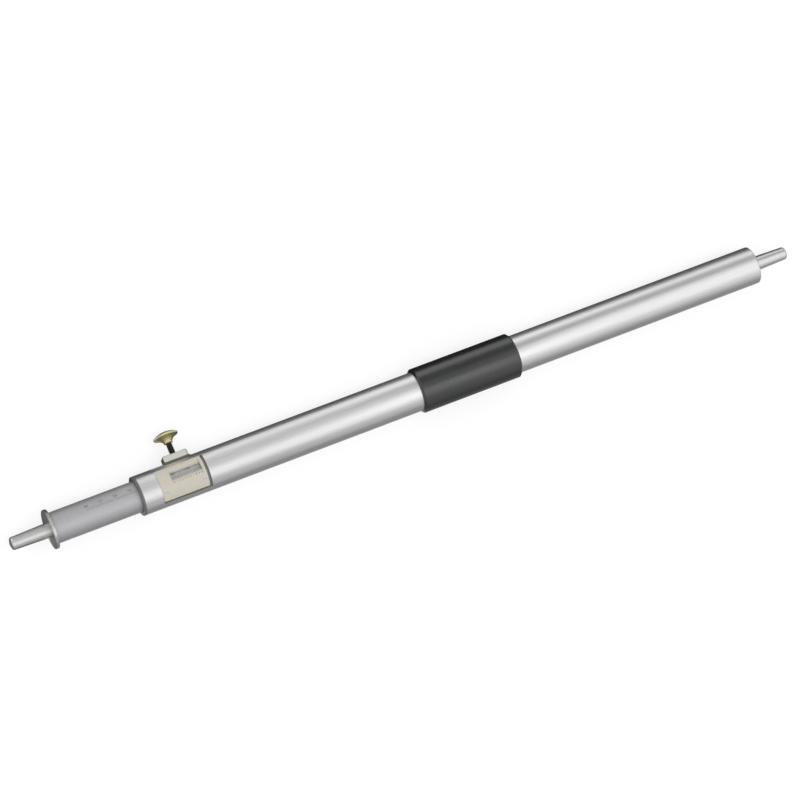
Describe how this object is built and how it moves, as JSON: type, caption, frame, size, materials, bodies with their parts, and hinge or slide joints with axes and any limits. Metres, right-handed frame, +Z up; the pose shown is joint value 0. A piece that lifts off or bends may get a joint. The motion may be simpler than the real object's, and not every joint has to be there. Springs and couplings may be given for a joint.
{
  "type": "inside vernier caliper",
  "caption": "Tubular inside caliper: a scaled inner tube slides in an outer tube with a vernier window, a lock screw, a grip and a contact at each end.",
  "frame": {"origin": "measuring point of the fixed contact, on the tool's axis", "axes": "+X along the tool from the slide contact to the fixed contact, +Z up, with the tool lying level on its grip; it tips less than half a degree to rest on its collar and on the rim of its lock knob too, which points towards +Y"},
  "size_m": [0.5583, 0.048, 0.03],
  "materials": {
    "satin_chrome": "satin chrome plate on drawn steel tube",
    "satin_slide": "matt chrome on ground steel tube, with an engraved scale",
    "ground_steel": "ground and lapped hardened steel",
    "bright_steel": "turned steel",
    "nickel_plate": "dull nickel plate",
    "cream_lacquer": "matt cream lacquer on steel, with engraved vernier lines",
    "black_oxide_steel": "black oxide on steel",
    "black_plastic": "satin moulded black plastic",
    "brass": "turned brass",
    "knob_brass": "lacquered brass, a little olive"
  },
  "bodies": {
    "outer": {"outer_tube": "satin_chrome", "nose_ring": "black_oxide_steel", "front_bush": "black_oxide_steel", "bush_screws": "bright_steel", "vernier_plate": "cream_lacquer", "vernier_plate_screws": "bright_steel", "clamp_boss": "nickel_plate", "grip_sleeve": "black_plastic", "guide_key": "bright_steel", "key_screw": "bright_steel", "end_plug": "bright_steel", "end_plug_screws": "bright_steel", "fixed_contact": "ground_steel", "contact_set_screw": "black_oxide_steel"},
    "slide": {"inner_tube": "satin_slide", "slide_plug": "bright_steel", "slide_cross_pin": "bright_steel", "slide_contact": "ground_steel", "guide_ring": "brass", "guide_ring_rivets": "brass"},
    "lock_pad": {"lock_pad": "brass"},
    "lock_screw": {"lock_stem": "black_oxide_steel", "lock_knob": "knob_brass"}
  },
  "joints": [
    {"name": "slide_travel", "type": "slide", "parent": "outer", "child": "slide", "axis": [-1, 0, 0], "range_m": [-0.0583, 0.2417]},
    {"name": "lock_pad_travel", "type": "slide", "parent": "outer", "child": "lock_pad", "axis": [0, 0.9834, -0.1817], "range_m": [-0.0002, 0.002]},
    {"name": "lock_screw_turn", "type": "hinge", "parent": "lock_pad", "child": "lock_screw", "pos_m": [-0.4384, 0.01967, -0.00363], "axis": [0, 0.9834, -0.1817], "range_deg": [-103, 1029]}
  ],
  "couplings": [
    {"joint": "lock_screw_turn", "follows": "lock_pad_travel", "rad_per_m": 8976}
  ]
}
